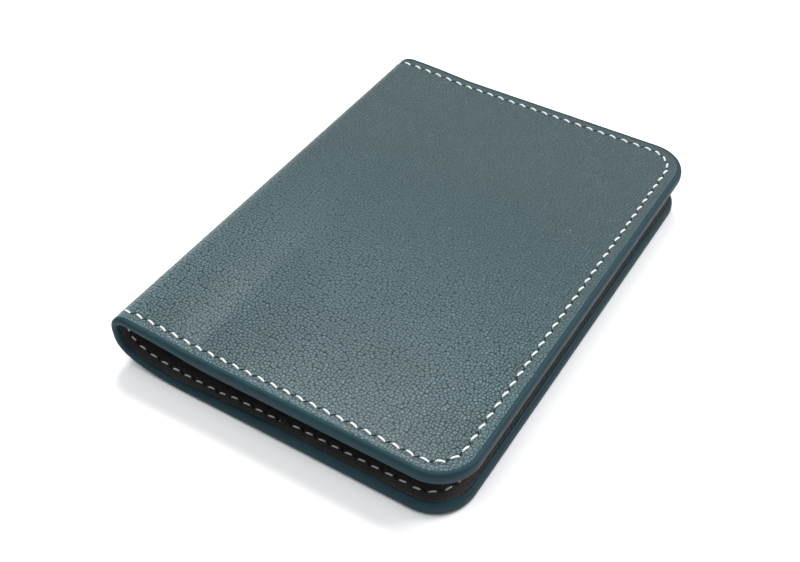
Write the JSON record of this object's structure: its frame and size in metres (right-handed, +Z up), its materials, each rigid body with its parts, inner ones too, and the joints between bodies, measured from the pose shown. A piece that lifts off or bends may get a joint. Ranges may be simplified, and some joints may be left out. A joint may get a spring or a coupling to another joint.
{
  "type": "card holder",
  "caption": "Book-style bifold card holder in stitched leather: two leaves joined by a soft rounded spine, with slot pockets inside each leaf.",
  "frame": {"origin": "centre of the closed holder's footprint, on the surface that it lies on", "axes": "+X from the spine to the fore edge, +Y along the spine, +Z up out of the front cover"},
  "size_m": [0.0792, 0.111, 0.0127],
  "materials": {
    "outer_leather": "satin pebble grain, grey-teal",
    "inner_leather": "fine grain, black",
    "thread": "waxed thread, off-white",
    "edge_paint": "satin edge paint, dark teal"
  },
  "bodies": {
    "back_leaf": {"back_cover_leather": "outer_leather", "back_lining": "inner_leather", "back_card_pocket": "inner_leather", "back_ticket_pocket": "inner_leather", "back_stitching": "thread", "back_edge_paint": "edge_paint"},
    "spine_heel": {"spine_heel_leather": "outer_leather", "spine_heel_lining": "inner_leather", "spine_heel_stitching": "thread", "spine_heel_edge_paint": "edge_paint"},
    "spine_middle": {"spine_middle_leather": "outer_leather", "spine_middle_lining": "inner_leather", "spine_middle_stitching": "thread", "spine_middle_edge_paint": "edge_paint"},
    "spine_crown": {"spine_crown_leather": "outer_leather", "spine_crown_lining": "inner_leather", "spine_crown_stitching": "thread", "spine_crown_edge_paint": "edge_paint"},
    "front_leaf": {"front_cover_leather": "outer_leather", "front_lining": "inner_leather", "front_slip_pocket": "inner_leather", "front_card_pocket": "inner_leather", "front_stitching": "thread", "front_edge_paint": "edge_paint"}
  },
  "joints": [
    {"name": "heel_fold", "type": "hinge", "parent": "back_leaf", "child": "spine_heel", "pos_m": [-0.0256, 0, 0.00085], "axis": [0, -1, 0], "range_deg": [0, 15.63]},
    {"name": "middle_fold", "type": "hinge", "parent": "spine_heel", "child": "spine_middle", "pos_m": [-0.0354, 0, 0.00359], "axis": [0, -1, 0], "range_deg": [0, 38.3]},
    {"name": "crown_fold", "type": "hinge", "parent": "spine_middle", "child": "spine_crown", "pos_m": [-0.03875, 0, 0.00819], "axis": [0, -1, 0], "range_deg": [0, 79.33]},
    {"name": "front_fold", "type": "hinge", "parent": "spine_crown", "child": "front_leaf", "pos_m": [-0.0354, 0, 0.01175], "axis": [0, -1, 0], "range_deg": [0, 46.74]}
  ],
  "couplings": [
    {"joint": "middle_fold", "follows": "heel_fold", "ratio": 2.4513},
    {"joint": "crown_fold", "follows": "heel_fold", "ratio": 5.0768},
    {"joint": "front_fold", "follows": "heel_fold", "ratio": 2.9912}
  ]
}
